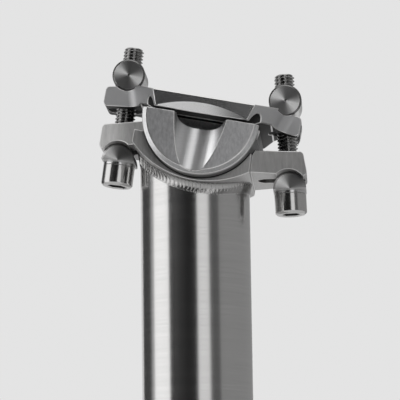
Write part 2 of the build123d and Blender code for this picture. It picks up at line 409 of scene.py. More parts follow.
class TurnedRaysAndHighlight(NodeGroup):
    """A shader group that paints a highlight as two opposite bright wedges on a turned end face, with the fine streaks
    that a lathe leaves.
    """

    title = "turned_rays_and_painted_highlight"
    takes = {
        "Tone": COLOUR, "Dark Gain": 0.34, "Bright Gain": 1.78, "Sharpness": 2.2, "Bright Turn": 0.405, "Streaks": 0.7,
    }
    gives = {"Tone": COLOUR}

    def _fill(self) -> Feed:
        """Lays two opposite bright wedges, a painted highlight, and fine streaks round the face.

        Returns:
            What each output gets, by name.
        """
        around = self.split(self.add("ShaderNodeUVMap", uv_map=TURNED_UV)[0])[0]
        # Painted highlight: two opposite bright wedges at a fixed turn.
        turn = self.times(self.minus(around, self["Bright Turn"]), 2 * FULL_TURN)
        swell = self.times(self.plus(self.math("COSINE", turn), 1.0), 0.5)
        spread = self.minus(self["Bright Gain"], self["Dark Gain"])
        wedge = self.times(self.math("POWER", swell, self["Sharpness"]), spread)
        circle = self.times(around, FULL_TURN)
        ring = self.add("ShaderNodeCombineXYZ", {0: self.math("COSINE", circle), 1: self.math("SINE", circle)})
        noise = self.noise({"Vector": ring[0], "Scale": 5.0, "Detail": 3.0})
        streak = self.times(self.minus(noise, 0.5), self["Streaks"])
        gain = self.plus(self["Dark Gain"], self.times(wedge, self.plus(1.0, streak)))
        return {"Tone": self.scaled(self["Tone"], gain)}


def new_material(name: str) -> tuple[Material, NodeSheet, NodeInputs]:
    """Makes a material.

    Args:
        name: the material's name.

    Returns:
        The material, its nodes, and the inputs of its Principled shader.
    """
    material = bpy.data.materials.new(name)
    material.use_nodes = True
    return material, NodeSheet(material.node_tree), material.node_tree.nodes["Principled BSDF"].inputs


@dataclass(frozen=True)
class PaintedShadeFade:
    """A painted shade: a fall of tone along one axis of the post, in millimetres, the same on both sides of it where
    mirrored.
    """

    axis: int
    start: float
    end: float
    share: float
    mirrored: bool = False

    def mask(self, sheet: NodeSheet) -> NodeSocket:
        """Adds the fade's mask.

        Args:
            sheet: the material's nodes.

        Returns:
            A number that goes from 0 at the start to 1 at the end.
        """
        along = sheet.split(sheet.place())[self.axis]
        if self.mirrored:
            along = sheet.math("ABSOLUTE", along)
        reach = {"Value": along, "From Min": self.start * MM, "From Max": self.end * MM}
        return sheet.add("ShaderNodeMapRange", reach, interpolation_type="SMOOTHSTEP")["Result"]


@dataclass(frozen=True)
class Finish:
    """One metal finish, with the way its marks run and how strong they are."""

    name: str
    colour: tuple[float, float, float]
    roughness: float
    pattern: Pattern
    grain: tuple[float, float, float]
    tone_depth: float = 0.25
    roughness_depth: float = 0.15
    bump: float = 0.1
    bump_mm: float = 0.004
    anisotropy: float = 0.0
    anisotropy_turn: float = 0.25
    smudge_scale: float = 60.0
    painted_shade_attribute: str = ""
    painted_shade_share: float = 0.6
    # Painted shade along one axis, where set.
    fade: PaintedShadeFade | None = None

    def build(self, shop: "FinishShop") -> Material:
        """Builds the material.

        Args:
            shop: the shop, for its shader groups.

        Returns:
            The finished material.
        """
        material, sheet, shader = new_material(self.name)
        source = sheet.add("ShaderNodeTexCoord")["UV" if self.pattern is Pattern.TURNED else "Object"]
        grain = sheet.group(shop.grain, {
            "Place": sheet.add("ShaderNodeMapping", {"Vector": source, "Scale": self.grain})[0],
            "Base Tone": (*self.colour, 1.0),
            "Tone Depth": self.tone_depth,
            "Base Roughness": self.roughness,
            "Roughness Depth": self.roughness_depth,
            "Smudge Scale": self.smudge_scale,
        })
        tone = grain["Tone"]
        # Painted shade where the mesh's stored mask is set.
        if self.painted_shade_attribute:
            stored = sheet.add("ShaderNodeAttribute", attribute_name=self.painted_shade_attribute)["Fac"]
            tone = sheet.group(shop.mask, {"Tone": tone, "Mask": stored, "Share": self.painted_shade_share})["Tone"]
        # Painted shade that falls along one axis.
        if self.fade is not None:
            mask = self.fade.mask(sheet)
            tone = sheet.group(shop.mask, {"Tone": tone, "Mask": mask, "Share": self.fade.share})["Tone"]
        # Turned faces get a painted highlight in two bright wedges.
        if self.pattern is Pattern.TURNED:
            tone = sheet.group(shop.rays, {"Tone": tone})["Tone"]
        marks = {"Strength": self.bump, "Distance": self.bump_mm * MM, "Height": grain["Height"]}
        sheet.feed(shader, {
            "Base Color": tone,
            "Metallic": 1.0,
            "Roughness": grain["Roughness"],
            "Anisotropic": self.anisotropy,
            "Anisotropic Rotation": self.anisotropy_turn,
            "Normal": sheet.add("ShaderNodeBump", marks)["Normal"],
        })
        if self.pattern in GLOSS_RUNS:
            sheet.feed(shader, {"Tangent": sheet.add("ShaderNodeTangent", **GLOSS_RUNS[self.pattern])[0]})
        return material


TUBE = Finish(
    "brushed_titanium_tube", (0.615, 0.61, 0.605), 0.2, Pattern.AROUND, (40, 40, 2400),
    tone_depth=0.4, roughness_depth=0.14, anisotropy=0.45, smudge_scale=25.0,
)
# The bead's upper edge, under the head, is painted darker through the joint mask: painted shadow.
WELD = Finish(
    "rippled_titanium_weld", (0.48, 0.475, 0.47), 0.22, Pattern.BLASTED, (900, 900, 900),
    tone_depth=0.35, roughness_depth=0.2, bump=0.12, painted_shade_attribute="joint", painted_shade_share=0.6,
)
HEAD = Finish(
    "machined_titanium_head", (0.53, 0.525, 0.52), 0.42, Pattern.UPRIGHT, (1500, 1500, 260),
    tone_depth=0.9, roughness_depth=0.05,
)
# Lighter than the head and darker towards the trough: painted light and shade on the rear ear.
REAR_EAR_PAINTED_SHADE = replace(
    HEAD, name="machined_titanium_ear_painted_shade", colour=(0.56, 0.555, 0.55), fade=PaintedShadeFade(0, -24.0, -17.0, 0.45),
)
CRADLE = Finish(
    "satin_alloy_cradle", (0.68, 0.68, 0.69), 0.38, Pattern.UPRIGHT, (1700, 1700, 700),
    tone_depth=1.1, roughness_depth=0.14, bump=0.12,
)
# The rim darkens towards its bottom: painted shade.
CRADLE_RIM_PAINTED_SHADE = replace(
    CRADLE, name="chamfered_alloy_rim_painted_shade", colour=(0.7, 0.7, 0.705), tone_depth=0.9,
    fade=PaintedShadeFade(2, 344, 336, 0.5),
)
# Darker next to the trough, under the cradle's overhang: painted shadow.
UNDERSIDE = Finish(
    "alloy_underside_painted_shade", (0.62, 0.62, 0.625), 0.4, Pattern.UPRIGHT, (160, 160, 1800),
    tone_depth=0.5, roughness_depth=0.14, bump=0.12, fade=PaintedShadeFade(1, 24.6, 22.4, 0.86, mirrored=True),
)
SCOOP = Finish(
    "milled_alloy_scoop", (0.86, 0.86, 0.865), 0.32, Pattern.UPRIGHT, (160, 160, 3800),
    tone_depth=0.3, roughness_depth=0.1, bump=0.12,
)
# Bright at its inner end and darker along +X: painted highlight fading into painted shade.
CRESCENT = replace(
    SCOOP, name="milled_alloy_crescent_painted_highlight", roughness=0.24, tone_depth=0.15, bump=0.1,
    fade=PaintedShadeFade(0, 4, 15, 0.7),
)
CLAMP = Finish(
    "polished_alloy_clamp", (0.54, 0.54, 0.545), 0.55, Pattern.UPRIGHT, (2600, 2600, 300),
    tone_depth=0.18, roughness_depth=0.16, bump=0.08,
)
WING = replace(
    CLAMP, name="polished_alloy_wing", colour=(0.60, 0.60, 0.605), roughness=0.22,
    roughness_depth=0.12, bump=0.06,
)
# Nearly black inside the rail groove and under the upper clamp: painted shade.
GROOVE = Finish(
    "groove_painted_shade", (0.07, 0.07, 0.07), 0.55, Pattern.BLASTED, (1800, 1800, 1800),
    tone_depth=0.5, bump=0.3,
)
# Bevelled edges are painted brighter than the faces: painted highlight along them.
EDGE = Finish(
    "edge_painted_highlight", (0.74, 0.735, 0.73), 0.3, Pattern.BLASTED, (700, 700, 700),
    tone_depth=0.8, roughness_depth=0.2, bump=0.08,
)
# The threaded part is painted darker: painted shade over the thread.
BOLT = Finish(
    "bright_bolt_steel", (0.58, 0.575, 0.57), 0.16, Pattern.AROUND, (120, 120, 4200),
    tone_depth=0.2, roughness_depth=0.12, bump=0.06, painted_shade_attribute="thread", painted_shade_share=0.35,
)
WASHER = Finish(
    "bright_washer_steel", (0.66, 0.66, 0.66), 0.2, Pattern.BLASTED, (1500, 1500, 1500),
    tone_depth=0.2, bump=0.06,
)
# Turned end faces carry a painted highlight in two bright wedges.
TURNED = Finish(
    "turned_steel", (0.56, 0.558, 0.556), 0.4, Pattern.TURNED, (30, 30, 1),
    tone_depth=0.9, roughness_depth=0.16, bump=0.12, anisotropy=0.9,
)
# The nut's chamfers are painted dark: painted shade round the end faces.
NUT_RIM_PAINTED_SHADE = Finish(
    "turned_rim_painted_shade", (0.2, 0.198, 0.196), 0.25, Pattern.BLASTED, (900, 900, 900),
    tone_depth=0.4, bump=0.08,
)


@dataclass
class FinishShop:
    """The shader groups that the finishes share, and the materials made so far."""

    grain: MetalGrain = field(default_factory=MetalGrain)
    mask: PaintedShadeTone = field(default_factory=PaintedShadeTone)
    rays: TurnedRaysAndHighlight = field(default_factory=TurnedRaysAndHighlight)
    made: dict[Finish, Material] = field(default_factory=dict)

    def material(self, finish: Finish) -> Material:
        """Makes a finish's material, once.

        Args:
            finish: the finish.

        Returns:
            The material.
        """
        if finish not in self.made:
            self.made[finish] = finish.build(self)
        return self.made[finish]


@dataclass
class CopiedNode:
    """A CAD solid shown through a merged copy with softened edges."""

    node: str
    body: str
    slot: str
    edge_mm: float = 0.0
    crease_deg: float = 2.5
    sharp_deg: float = 28.0
    flat_deg: float = 0.3
    merge_gap: float = 2e-6
    sliver: float = 1e-6
    finishes: ClassVar[dict[Zone, Finish]]

    def build(self, shop: FinishShop) -> Object:
        """Copies the node's mesh, softens its edges and puts it in place of the node.

        Args:
            shop: the shop that makes its materials.

        Returns:
            The new piece.
        """
        zones = list(self.finishes)
        piece = add_object(f"{self.node}_finished", self._merged())
        dress(piece, *map(shop.material, self.finishes.values()))
        if self.edge_mm > 0:
            # The bevel's new faces get the painted edge highlight.
            modify(
                piece, "BEVEL", limit_method="WEIGHT", width=self.edge_mm * MM, segments=2, harden_normals=True,
                use_clamp_overlap=False, material=zones.index(Zone.EDGE),
            )
        modify(piece, "WEIGHTED_NORMAL", keep_sharp=True)
        bake(piece)
        for face in piece.data.polygons:
            if face.material_index == zones.index(Zone.MAIN):
                face.material_index = zones.index(self._zone(face))
        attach(piece, self.body)
        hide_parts(self.node)
        return piece

    def _zone(self, face: MeshPolygon) -> Zone:
        """Returns the zone that a face is in."""
        return Zone.MAIN

    def _merged(self) -> Mesh:
        """Merges a copy of the node.

        Returns:
            A mesh with sharp edges only where two CAD faces meet at an angle.
        """
        mesh = frame["nodes"][self.node].data.copy()
        body = bmesh.new()
        body.from_mesh(mesh)
        island = self._numbered(body)
        bmesh.ops.remove_doubles(body, verts=body.verts, dist=self.merge_gap)
        bmesh.ops.dissolve_degenerate(body, edges=body.edges, dist=self.sliver)
        weight = body.edges.layers.float.new("bevel_weight_edge")
        for edge in body.edges:
            edge.smooth = True
            if len(edge.link_faces) == 2:
                one, other = edge.link_faces
                angle = math.degrees(edge.calc_face_angle(0.0))
                if one[island] != other[island] and angle > self.crease_deg:
                    edge.smooth = False
                    edge[weight] = 1.0 if angle > self.sharp_deg else 0.0
        for face in body.faces:
            face.smooth = True
        limit = math.radians(self.flat_deg)
        bmesh.ops.dissolve_limit(body, angle_limit=limit, verts=body.verts, edges=body.edges, delimit={"SHARP"})
        body.to_mesh(mesh)
        body.free()
        if mesh.has_custom_normals:
            mesh.attributes.remove(mesh.attributes["custom_normal"])
        return mesh

    def _numbered(self, body: bmesh.types.BMesh) -> bmesh.types.BMLayerItem:
        """Numbers the CAD faces, each of which is an island of triangles before the merge.

        Args:
            body: the unmerged mesh.

        Returns:
            The layer that holds each triangle's number.
        """
        island = body.faces.layers.int.new("cad_face")
        count = 0
        for start in body.faces:
            if start[island]:
                continue
            count += 1
            queue = [start]
            start[island] = count
            while queue:
                for edge in queue.pop().edges:
                    for near in edge.link_faces:
                        if not near[island]:
                            near[island] = count
                            queue.append(near)
        return island


@dataclass
class Tube(CopiedNode):
    """The long tube."""

    node: str = "post_tube"
    body: str = "post"
    slot: str = "titanium_tube"
    finishes = {Zone.MAIN: TUBE}


@dataclass
class Head(CopiedNode):
    """The machined head with its trough and ears."""

    node: str = "head"
    body: str = "post"
    slot: str = "titanium_head"
    edge_mm: float = 0.2
    ear_before: float = -17.0
    finishes = {Zone.MAIN: HEAD, Zone.EAR: REAR_EAR_PAINTED_SHADE, Zone.EDGE: EDGE}

    def _zone(self, face: MeshPolygon) -> Zone:
        """Returns the zone that a face is in."""
        return Zone.EAR if face.center.x / MM < self.ear_before else Zone.MAIN


@dataclass
class Cradle(CopiedNode):
    """The half-round cradle under the rails."""

    node: str = "cradle"
    body: str = "clamp"
    slot: str = "satin_alloy"
    edge_mm: float = 0.2
    axis: Vector = field(default_factory=lambda: Vector((0.0035, 0.350)))
    scoop_from: float = 21.0
    scoop_reach: float = 15.1
    underside_from: float = 16.2
    rim_from: float = 15.4
    end_normal: float = 0.985
    rim_normal: float = 0.9
    round_normal: float = 0.1
    highest_normal: float = 0.2
    finishes = {
        Zone.MAIN: CRADLE, Zone.SCOOP: SCOOP, Zone.UNDERSIDE: UNDERSIDE, Zone.RIM: CRADLE_RIM_PAINTED_SHADE, Zone.EDGE: EDGE,
    }

    def _zone(self, face: MeshPolygon) -> Zone:
        """Finds a face's zone by its distance from the cradle's axis and the way it faces.

        Args:
            face: the face.

        Returns:
            The zone that it is in.
        """
        side = abs(face.center.y) / MM
        reach = (face.center.xz - self.axis).length / MM
        endwards = abs(face.normal.y)
        slanted = endwards < self.end_normal and face.normal.y * face.center.y > 0
        if side > self.scoop_from and slanted and reach < self.scoop_reach:
            return Zone.SCOOP
        if endwards < self.round_normal and reach > self.underside_from and face.normal.z < self.highest_normal:
            return Zone.UNDERSIDE
        if endwards < self.rim_normal and reach > self.rim_from:
            return Zone.RIM
        return Zone.MAIN


@dataclass
class UpperClamp(CopiedNode):
    """The bar over the rails, with its wings."""

    node: str = "upper_clamp"
    body: str = "clamp"
    slot: str = "polished_alloy"
    edge_mm: float = 0.25
    crease_deg: float = 14.0
    groove_radius: float = 3.55
    groove_half_spacing: float = 21.5
    groove_play: float = 0.12
    bar_half: float = 6.5
    wing_from: float = 20.0
    under_rise: float = -0.8
    crescent_rise: float = -0.2
    top_rise: float = 0.5
    rail_lean: float = 0.2
    wing_lean: float = 0.5
    forwards: Vector = field(init=False)
    upwards: Vector = field(init=False)
    middle: Vector = field(init=False)
    finishes = {Zone.MAIN: CLAMP, Zone.GROOVE: GROOVE, Zone.WING: WING, Zone.CRESCENT: CRESCENT, Zone.EDGE: EDGE}

    def __post_init__(self) -> None:
        """Reads the rails' direction and height from the record."""
        rail = next(mount for mount in frame["record"]["mounts"] if mount["name"] == "left_rail")
        self.forwards = Vector(rail["axis"]).normalized()
        self.upwards = Vector((0, -1, 0)).cross(self.forwards)
        self.middle = Vector((rail["pos_m"][0], 0, rail["pos_m"][2]))

    def _zone(self, face: MeshPolygon) -> Zone:
        """Finds a face's zone by its distance from the rails and the way it faces.

        Args:
            face: the face.

        Returns:
            The zone that it is in.
        """
        gap = (face.center - self.middle) / MM
        side = abs(gap.y)
        reach = math.hypot(gap.dot(self.upwards), side - self.groove_half_spacing)
        rise, lean = face.normal.dot(self.upwards), abs(face.normal.dot(self.forwards))
        along_rail = lean < self.rail_lean
        # The groove and the underside get the painted shade.
        if rise < self.under_rise or along_rail and abs(reach - self.groove_radius) < self.groove_play:
            return Zone.GROOVE
        if lean < self.wing_lean and side > self.wing_from:
            return Zone.CRESCENT if rise < self.crescent_rise else Zone.WING
        if along_rail and side > self.bar_half and rise > self.top_rise:
            return Zone.WING
        return Zone.MAIN


class RippleTree(NodeGroup):
    """A Geometry Nodes tree that raises weld ripples on a bead that carries its own run and width."""

    title = "weld_ripples"
    kind = "GeometryNodeTree"
    takes = {
        "Geometry": GEOMETRY, "Pitch": FLOAT, "Height": FLOAT, "Bow": FLOAT, "Unevenness": FLOAT,
        "Material": MATERIAL,
    }
    gives = {"Geometry": GEOMETRY}
    wander_scale: ClassVar[float] = 260.0
    steepness: ClassVar[float] = 2.2
    fullness: ClassVar[float] = 2.5

    def _fill(self) -> Feed:
        """Pushes the bead out in bowed, uneven scales that fade at its two toes.

        Returns:
            What each output gets, by name.
        """
        run = self.attribute("run")
        centred = self.minus(self.attribute("across"), 0.5)
        wander = self.noise({"W": run, "Scale": self.wander_scale, "Detail": 1.0}, "1D")
        bow = self.times(centred, centred, self.times(self["Bow"], 4.0))
        uneven = self.times(self.minus(wander, 0.5), self["Unevenness"])
        steps = self.math("DIVIDE", run, self["Pitch"])
        phase = self.math("FRACT", self.plus(steps, bow, self.times(uneven, 4.0)))
        scale_edge = self.math("POWER", phase, self.steepness)
        toe = self.math("POWER", self.math("ABSOLUTE", self.times(centred, 2.0)), self.fullness)
        rise = self.times(scale_edge, self.minus(1.0, toe), self["Height"])
        push = self.scaled(self.add("GeometryNodeInputNormal")[0], rise)
        moved = self.add("GeometryNodeSetPosition", {"Geometry": self["Geometry"], "Offset": push})[0]
        return {"Geometry": self.painted(moved, self["Material"])}


class ThreadTree(NodeGroup):
    """A Geometry Nodes tree that winds a screw thread round a plain shank along Z."""

    title = "screw_thread"
    kind = "GeometryNodeTree"
    takes = {
        "Geometry": GEOMETRY, "Pitch": FLOAT, "Root Radius": FLOAT, "Crest Radius": FLOAT, "Tip": FLOAT,
        "Tip Chamfer": FLOAT, "Material": MATERIAL,
    }
    gives = {"Geometry": GEOMETRY}
    root_flat: ClassVar[float] = 0.16
    flank_share: ClassVar[float] = 0.68
    least_radius: ClassVar[float] = 1e-6

    def _fill(self) -> Feed:
        """Moves the shank's points out to the thread, and in to the chamfer at its tip.

        Returns:
            What each output gets, by name.
        """
        x, y, z = self.split(self.add("GeometryNodeInputPosition")[0])
        turn = self.math("DIVIDE", self.math("ARCTAN2", y, x), FULL_TURN)
        phase = self.math("FRACT", self.minus(self.math("DIVIDE", z, self["Pitch"]), turn))
        peak = self.minus(1.0, self.math("ABSOLUTE", self.minus(self.times(phase, 2.0), 1.0)))
        flank = self.math("DIVIDE", self.minus(peak, self.root_flat), self.flank_share, clamp=True)
        depth = self.minus(self["Crest Radius"], self["Root Radius"])
        wound = self.plus(self["Root Radius"], self.times(depth, flank))
        chamfer_from = self.minus(self["Tip"], self["Tip Chamfer"])
        over = self.math("MAXIMUM", 0.0, self.minus(z, chamfer_from))
        radius = self.math("MINIMUM", wound, self.minus(self["Crest Radius"], over))
        plain = self.math("SQRT", self.plus(self.times(x, x), self.times(y, y)))
        gain = self.math("DIVIDE", radius, self.math("MAXIMUM", plain, self.least_radius))
        place = self.add("ShaderNodeCombineXYZ", {0: self.times(x, gain), 1: self.times(y, gain), 2: z})[0]
        threaded = {0: self.attribute("thread"), 1: 0.5}
        chosen = self.add("FunctionNodeCompare", threaded, data_type="FLOAT", operation="GREATER_THAN")[0]
        moves = {"Geometry": self["Geometry"], "Selection": chosen, "Position": place}
        moved = self.add("GeometryNodeSetPosition", moves)[0]
        return {"Geometry": self.painted(moved, self["Material"])}


def run_tree(piece: Object, tree: NodeTree, values: dict[str, object]) -> None:
    """Runs a Geometry Nodes tree on a piece and keeps the result as a plain mesh.

    Args:
        piece: the object to change.
        tree: the Geometry Nodes tree.
        values: for each named input, its value.
    """
    modifier = modify(piece, "NODES", node_group=tree)
    for item in tree.interface.items_tree:
        if item.item_type == "SOCKET" and item.in_out == "INPUT" and item.name in values:
            modifier[item.identifier] = values[item.name]
    bake(piece)


@dataclass
class WeldBead:
    """The rippled bead in the corner between the tube and the underside of the head."""

    tube_radius: float = 15.8
    axis_forward: float = 3.5
    axis_height: float = 350.0
    underside: tuple[tuple[float, float], ...] = ((-19.95, -5.5), (0.0, -17.4), (13.0, -15.2))
    least_square: float = 1.0
    leg: float = 2.9
    end_throat: float = 0.58
    side_throat: float = 1.6
    throat_power: float = 1.5
    hollow: float = 3.3
    clear: float = 0.02
    root_depth: float = 0.25
    root_rise: float = 0.1
    root_drop: float = 0.15
    ripple_pitch: float = 1.05
    ripple_height: float = 0.19
    ripple_bow: float = 1.6
    unevenness: float = 0.22
    joint_shade_from: float = 0.45
    joint_shade_width: float = 0.4
    sharp_deg: float = 50.0
    steps: int = 1440
    rows: int = 13

    def build(self, shop: FinishShop, tree: RippleTree) -> Object:
        """Builds the bead and puts it in place of its plain solid.

        Args:
            shop: the shop that makes its material.
            tree: the ripple tree.

        Returns:
            The new piece.
        """
        mesh = grid_mesh("weld_bead_rippled", self._ring(), wrap=True)
        self._mark(mesh)
        piece = add_object(mesh.name, mesh)
        run_tree(piece, tree.tree, {
            "Pitch": self.ripple_pitch * MM,
            "Height": self.ripple_height * MM,
            "Bow": self.ripple_bow,
            "Unevenness": self.unevenness,
            "Material": shop.material(WELD),
        })
        shade(piece.data, self.sharp_deg)
        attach(piece, "post")
        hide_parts("weld_bead")
        return piece

    def _height(self, x: np.ndarray) -> np.ndarray:
        """Finds the height of the head's underside, which is an arc through three points in the side view.

        Args:
            x: places along the bicycle, in millimetres.

        Returns:
            The height over each of them.
        """
        a, b, c = (complex(*point) for point in self.underside)
        ratio = (c - a) / (b - a)
        centre = a + (b - a) * (ratio - abs(ratio) ** 2) / (2j * ratio.imag)
        along = x - self.axis_forward - centre.real
        square = np.maximum(abs(a - centre) ** 2 - along * along, self.least_square)
        return self.axis_height + centre.imag - np.sqrt(square)

    def _ring(self) -> np.ndarray:
        """Lays out the bead's plain skin, from its lower toe over its face to its root and back.

        Returns:
            Rows of points in metres.
        """
        turn = np.linspace(0, FULL_TURN, self.steps, endpoint=False)
        outward = np.stack([np.cos(turn), np.sin(turn)], axis=1)
        widening = np.abs(np.sin(turn)) ** self.throat_power
        throat = self.end_throat + (self.side_throat - self.end_throat) * widening
        rows = []
        for share in np.linspace(0, 1, self.rows):
            swing = share * math.pi / 2
            out = throat * math.sin(swing) ** self.hollow
            down = self.leg * math.cos(swing) ** self.hollow
            flat = outward * (self.tube_radius + self.clear + out)[:, None]
            rows.append(np.column_stack([flat, self._height(flat[:, 0]) - self.clear - down]))
        root = outward * (self.tube_radius - self.root_depth)
        rows.append(np.column_stack([root, self._height(root[:, 0]) + self.root_rise]))
        rows.append(np.column_stack([root, rows[0][:, 2] - self.root_drop]))
        return np.stack([*rows, rows[0]]) * MM

    def _mark(self, mesh: Mesh) -> None:
        """Stores each point's run round the tube, its place across the bead and how much painted shadow it gets near
        the upper joint.

        Args:
            mesh: the bead's plain skin.
        """
        place = points_mm(mesh)
        reach = np.hypot(place[:, 0], place[:, 1])
        turn = np.arctan2(place[:, 1], place[:, 0])
        drop = np.clip((self._height(place[:, 0]) - place[:, 2]) / self.leg, 0, 1)
        share = np.arccos(drop ** (1 / self.hollow)) / (math.pi / 2)
        across = np.where(reach < self.tube_radius, 0.0, share)
        point_attribute(mesh, "run", (turn + math.pi) * self.tube_radius * MM)
        point_attribute(mesh, "across", across)
        # The joint mask paints shadow along the bead's upper edge, under the head.
        point_attribute(mesh, "joint", np.clip((across - self.joint_shade_from) / self.joint_shade_width, 0, 1))


@dataclass
class BoltSet:
    """A bolt with its half-round washer and barrel nut, at one end of the clamp.

    The three tables of rings give the bolt's head from its socket to its upper face: for the socket the share of the
    hexagon, what is added to it and the height, and for the rest how far inside the head's radius and how far from
    its lower or upper face a ring lies.
    """

    end: End
    shank_length: float = 35.2
    washer_gap: float = 0.85
    head_height: float = 6.0
    head_radius: float = 4.6
    hex_half: float = 2.5
    socket_rings: tuple[tuple[float, float, float], ...] = (
        (0.0, 0.0, 3.1), (0.5, 0.0, 3.25), (1.0, 0.0, 3.6), (1.0, 0.0, 0.25), (1.0, 0.22, 0.02),
    )
    lower_rings: tuple[tuple[float, float], ...] = (
        (1.25, 0.0), (1.1, 0.05), (0.75, 0.05), (0.62, 0.02), (0.15, 0.4), (0.0, 0.75), (0.0, 0.9),
    )
    upper_rings: tuple[tuple[float, float], ...] = ((0.0, 0.4), (0.0, 0.25), (0.2, 0.0))
    crest_radius: float = 2.93
    root_radius: float = 2.42
    neck_round: float = 0.35
    neck_height: float = 0.2
    thread_from: float = 0.3
    thread_play: tuple[float, float] = (0.05, 0.02)
    pitch: float = 1.0
    rings_per_pitch: int = 10
    tip_chamfer: float = 0.6
    bolt_segments: int = 60
    bolt_sharp_deg: float = 32.0
    barrel_radius: float = 4.75
    barrel_half: float = 6.0
    barrel_segments: int = 96
    chamfer: float = 0.55
    chamfer_round: float = 0.08
    chamfer_share: float = 0.85
    chamfer_slope: tuple[float, float] = (0.1, 0.95)
    shoulder: float = 0.25
    dimple: tuple[tuple[float, float], ...] = ((0.0, -0.18), (0.35, -0.02))
    face_rings: int = 22
    face_from: float = 0.5
    ring_depth: float = 0.012
    face_recess: float = 0.03
    bore_play: float = 0.15
    washer_play: float = 0.25
    drill_half: float = 30.0
    drill_segments: int = 48
    seat: Vector = field(init=False)
    nut: Vector = field(init=False)
    frame_up: Matrix = field(init=False)

    def __post_init__(self) -> None:
        """Reads the bolt's place from the joints it turns on."""
        places = {joint["name"]: Vector(joint["pos_m"]) for joint in frame["joints"]}
        self.seat = places[f"{self.end.value}_bolt_lean"]
        self.nut = places[f"{self.end.value}_nut_turn"]
        up = (self.nut - self.seat).normalized()
        across = Vector((0, 1, 0))
        forwards = across.cross(up)
        self.frame_up = Matrix((forwards, across, up)).transposed().to_4x4()
        self.frame_up.translation = self.seat

    def build(self, shop: FinishShop, thread: ThreadTree) -> list[Object]:
        """Builds the three pieces and puts them in place of their plain solids.

        Args:
            shop: the shop that makes their materials.
            thread: the thread tree.

        Returns:
            The new pieces.
        """
        name = self.end.value
        turned, rim = shop.material(TURNED), shop.material(NUT_RIM_PAINTED_SHADE)
        bolt = self._bolt(thread, shop.material(BOLT))
        washer = self._barrel("half_washer", math.pi, self.frame_up, self.washer_play)
        dress(washer, turned)
        nut = self._barrel("barrel_nut", FULL_TURN, Matrix.Translation(self.nut), self.bore_play)
        dress(nut, turned, rim)
        self._paint_chamfer_shade(nut, rim)
        for piece, node, body, slot in (
            (bolt, f"{name}_bolt", f"{name}_bolt_set", "bolt_steel"),
            (washer, f"{name}_half_round_washer", f"{name}_bolt_set", "turned_steel"),
            (nut, f"{name}_barrel_nut", f"{name}_nut", "turned_steel"),
        ):
            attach(piece, body)
            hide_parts(node)
        return [bolt, washer, nut]

    def _bolt(self, thread: ThreadTree, steel: Material) -> Object:
        """Makes the bolt: a threaded shank, a chamfered head and a hexagon socket.

        Args:
            thread: the thread tree.
            steel: the bolt's finish.

        Returns:
            The bolt.
        """
        under = -self.washer_gap
        tip = under + self.shank_length
        mesh = grid_mesh(f"{self.end.value}_bolt_threaded", self._bolt_rings(under, tip), wrap=True)
        place = points_mm(mesh)
        reach = np.hypot(place[:, 0], place[:, 1])
        inward, downward = self.thread_play
        above, outside = under + self.thread_from - downward, self.root_radius - inward
        point_attribute(mesh, "thread", (place[:, 2] > above) & (reach > outside))
        piece = add_object(mesh.name, mesh)
        run_tree(piece, thread.tree, {
            "Pitch": self.pitch * MM,
            "Root Radius": self.root_radius * MM,
            "Crest Radius": self.crest_radius * MM,
            "Tip": tip * MM,
            "Tip Chamfer": self.tip_chamfer * MM,
            "Material": steel,
        })
        piece.data.transform(self.frame_up)
        shade(piece.data, self.bolt_sharp_deg)
        return piece

    def _bolt_rings(self, under: float, tip: float) -> np.ndarray:
        """Lays out the bolt's plain skin along Z, from the floor of its socket to its tip.

        Args:
            under: height of the head's upper face, in millimetres.
            tip: height of the shank's tip, in millimetres.

        Returns:
            Rows of points in metres.
        """
        angles = np.linspace(0, FULL_TURN, self.bolt_segments, endpoint=False)
        hexagon = self.hex_half / np.cos((angles % (math.pi / 3)) - math.pi / 6)
        one = np.ones(self.bolt_segments)
        low, head, root = under - self.head_height, self.head_radius, self.root_radius
        rings = [(hexagon * share + more, low + rise) for share, more, rise in self.socket_rings]
        rings += [(one * (head - inset), low + rise) for inset, rise in self.lower_rings]
        rings += [(one * (head - inset), under - drop) for inset, drop in self.upper_rings]
        rings += [(one * (root + self.neck_round), under), (one * root, under + self.neck_height)]
        count = int(self.shank_length / self.pitch * self.rings_per_pitch)
        rings += [(one * root, z) for z in np.linspace(under + self.thread_from, tip, count)]
        rings += [(one * (root - self.neck_round), tip), (one * 0, tip)]
        return np.array([
            [(r * math.cos(a), r * math.sin(a), z) for r, a in zip(ring, angles)] for ring, z in rings
        ]) * MM

    def _barrel_profile(self) -> list[tuple[float, float]]:
        """Lays out a barrel along Y, with fine turned rings on its end faces.

        Returns:
            Pairs of radius and place, from one end's middle to the other's.
        """
        face, radius = self.face_recess - self.barrel_half, self.barrel_radius
        width = radius - self.chamfer - self.face_from
        half = [(r, face - y) for r, y in self.dimple]
        for i in range(self.face_rings + 1):
            half.append((self.face_from + width * i / self.face_rings, face - self.ring_depth * (i % 2)))
        inner = self.chamfer - self.barrel_half
        half.append((radius - self.chamfer_round, self.chamfer * self.chamfer_share - self.barrel_half))
        half.append((radius, inner + self.chamfer_round))
        half.append((radius, inner + self.shoulder))
        return half + [(r, -y) for r, y in reversed(half)]

    def _drill(self, piece: Object, play: float) -> None:
        """Drills a round hole through a piece along the bolt.

        Args:
            piece: the piece to drill.
            play: how much wider than the thread's crest the hole's radius is, in millimetres.
        """
        radius, half = self.crest_radius + play, self.drill_half
        column = [(0.0, -half), (radius, -half), (radius, half), (0.0, half)]
        mesh = grid_mesh("drill", turned_points(column, self.drill_segments), wrap=True)
        mesh.transform(self.frame_up @ Matrix.Rotation(math.pi / 2, 4, "X"))
        drill = add_object("drill", mesh)
        modify(piece, "BOOLEAN", operation="DIFFERENCE", solver="EXACT", object=drill)
        bake(piece)
        bpy.data.objects.remove(drill)
        bpy.data.meshes.remove(mesh)

